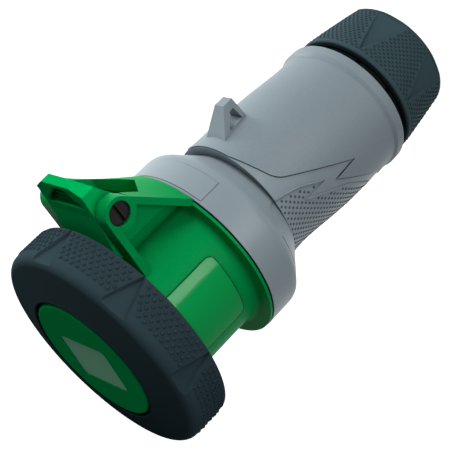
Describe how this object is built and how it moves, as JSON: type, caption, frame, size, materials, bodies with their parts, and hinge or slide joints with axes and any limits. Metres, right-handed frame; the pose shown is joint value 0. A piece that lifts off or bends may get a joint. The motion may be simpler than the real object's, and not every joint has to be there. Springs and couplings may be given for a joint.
{
  "type": "pin and sleeve connector",
  "caption": "Industrial cable connector with a flared grey handle, green socket collar, hinged lid, bayonet ring and cable gland nut.",
  "frame": {"origin": "on the connector's axis at the cable entry, in the plane of the gland nut's rear face", "axes": "+Z along the axis towards the mating face and lid, +X towards twelve o'clock with the hinge and the hanging lug, +Y completes a right-handed frame along the hinge pin"},
  "size_m": [0.1547, 0.127, 0.2536],
  "materials": {
    "grey_gloss": "smooth glossy moulding",
    "grey_matte": "finely grained moulding",
    "green_plastic": "satin moulding, grained on the barrel",
    "green_label": "glossy film",
    "pale_window": "pale translucent field",
    "black_steel": "blackened",
    "insulator": "dark grey thermoset",
    "contact_brass": "bright",
    "screw_steel": "zinc plated",
    "ring_black": "black moulding",
    "ring_rubber": "soft blue-black grip",
    "gland_black": "black moulding",
    "nut_plastic": "soft blue-black grip",
    "seal_rubber": "soft black seal"
  },
  "bodies": {
    "housing": {"socket_collar": "green_plastic", "rating_label": "green_label", "hinge_pin": "black_steel", "collar_spigot": "green_plastic", "contact_carrier": "insulator", "carrier_ring": "insulator", "clamp_plate": "insulator", "contact_earth": "contact_brass", "contact_l1": "contact_brass", "contact_l2": "contact_brass", "contact_l3": "contact_brass", "contact_neutral": "contact_brass", "contact_pilot": "contact_brass", "terminal_screws": "screw_steel", "front_shell": "grey_gloss", "handle_shell": "grey_matte", "release_panel": "grey_gloss", "shell_seal": "seal_rubber", "gland_sleeve": "gland_black", "gland_seal": "seal_rubber"},
    "lid": {"lid": "green_plastic", "lid_window": "pale_window", "lid_gasket": "seal_rubber"},
    "bayonet_ring": {"ring_core": "ring_black", "ring_face": "ring_black", "ring_grip": "ring_rubber", "ring_clip": "ring_black"},
    "gland_washer": {"thrust_ring": "gland_black"},
    "gland_nut": {"gland_nut": "nut_plastic"}
  },
  "joints": [
    {"name": "lid_hinge", "type": "hinge", "parent": "housing", "child": "lid", "pos_m": [0.0688, 0, 0.2112], "axis": [0, 1, 0], "range_deg": [0, 110]},
    {"name": "ring_turn", "type": "hinge", "parent": "lid", "child": "bayonet_ring", "pos_m": [0, 0, 0.24], "axis": [0, 0, 1], "range_deg": [0, 40]},
    {"name": "nut_slide", "type": "slide", "parent": "housing", "child": "gland_washer", "axis": [0, 0, -1], "range_m": [0, 0.006]},
    {"name": "nut_turn", "type": "hinge", "parent": "gland_washer", "child": "gland_nut", "pos_m": [0, 0, 0.02], "axis": [0, 0, -1], "range_deg": [0, 720]}
  ],
  "couplings": [
    {"joint": "nut_slide", "follows": "nut_turn", "m_per_rad": 0.00047746}
  ]
}
